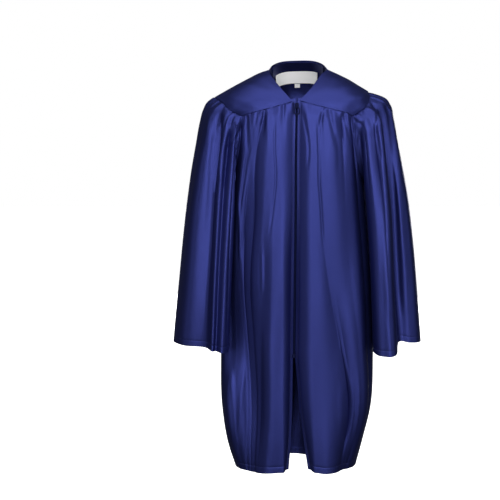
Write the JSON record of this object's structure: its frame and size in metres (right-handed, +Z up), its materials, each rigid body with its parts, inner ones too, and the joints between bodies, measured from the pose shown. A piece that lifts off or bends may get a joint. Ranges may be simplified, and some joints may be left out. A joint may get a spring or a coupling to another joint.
{
  "type": "graduation gown",
  "caption": "Child's loose graduation gown with a yoke, gathered fronts and back, open bell sleeves and a front zip, filled out as when worn.",
  "frame": {"origin": "between the wearer's shoulders, at the base of the neck", "axes": "+Z up, -Y out of the front with the zip, +X towards the wearer's left arm"},
  "size_m": [0.461, 0.1568, 0.753],
  "materials": {
    "cloth": "smooth navy blue satin with a soft shine",
    "zip": "dark navy zip tape and coil",
    "zip_hardware": "dark navy lacquer, half gloss",
    "label": "white woven ribbon, matt"
  },
  "bodies": {
    "gown": {"yoke_front_right": "cloth", "yoke_front_left": "cloth", "yoke_back": "cloth", "neck_band": "cloth", "front_right": "cloth", "front_left": "cloth", "back": "cloth", "sleeve_right": "cloth", "sleeve_left": "cloth", "zip": "zip", "zip_slider": "zip_hardware", "zip_stop": "zip_hardware", "neck_label": "label", "size_label": "label"},
    "pull": {"zip_pull": "zip_hardware"}
  },
  "joints": [
    {"name": "pull_hinge", "type": "hinge", "parent": "gown", "child": "pull", "pos_m": [-0.00127, -0.06809, -0.0385], "axis": [-1, 0, 0], "range_deg": [0, 160]}
  ]
}
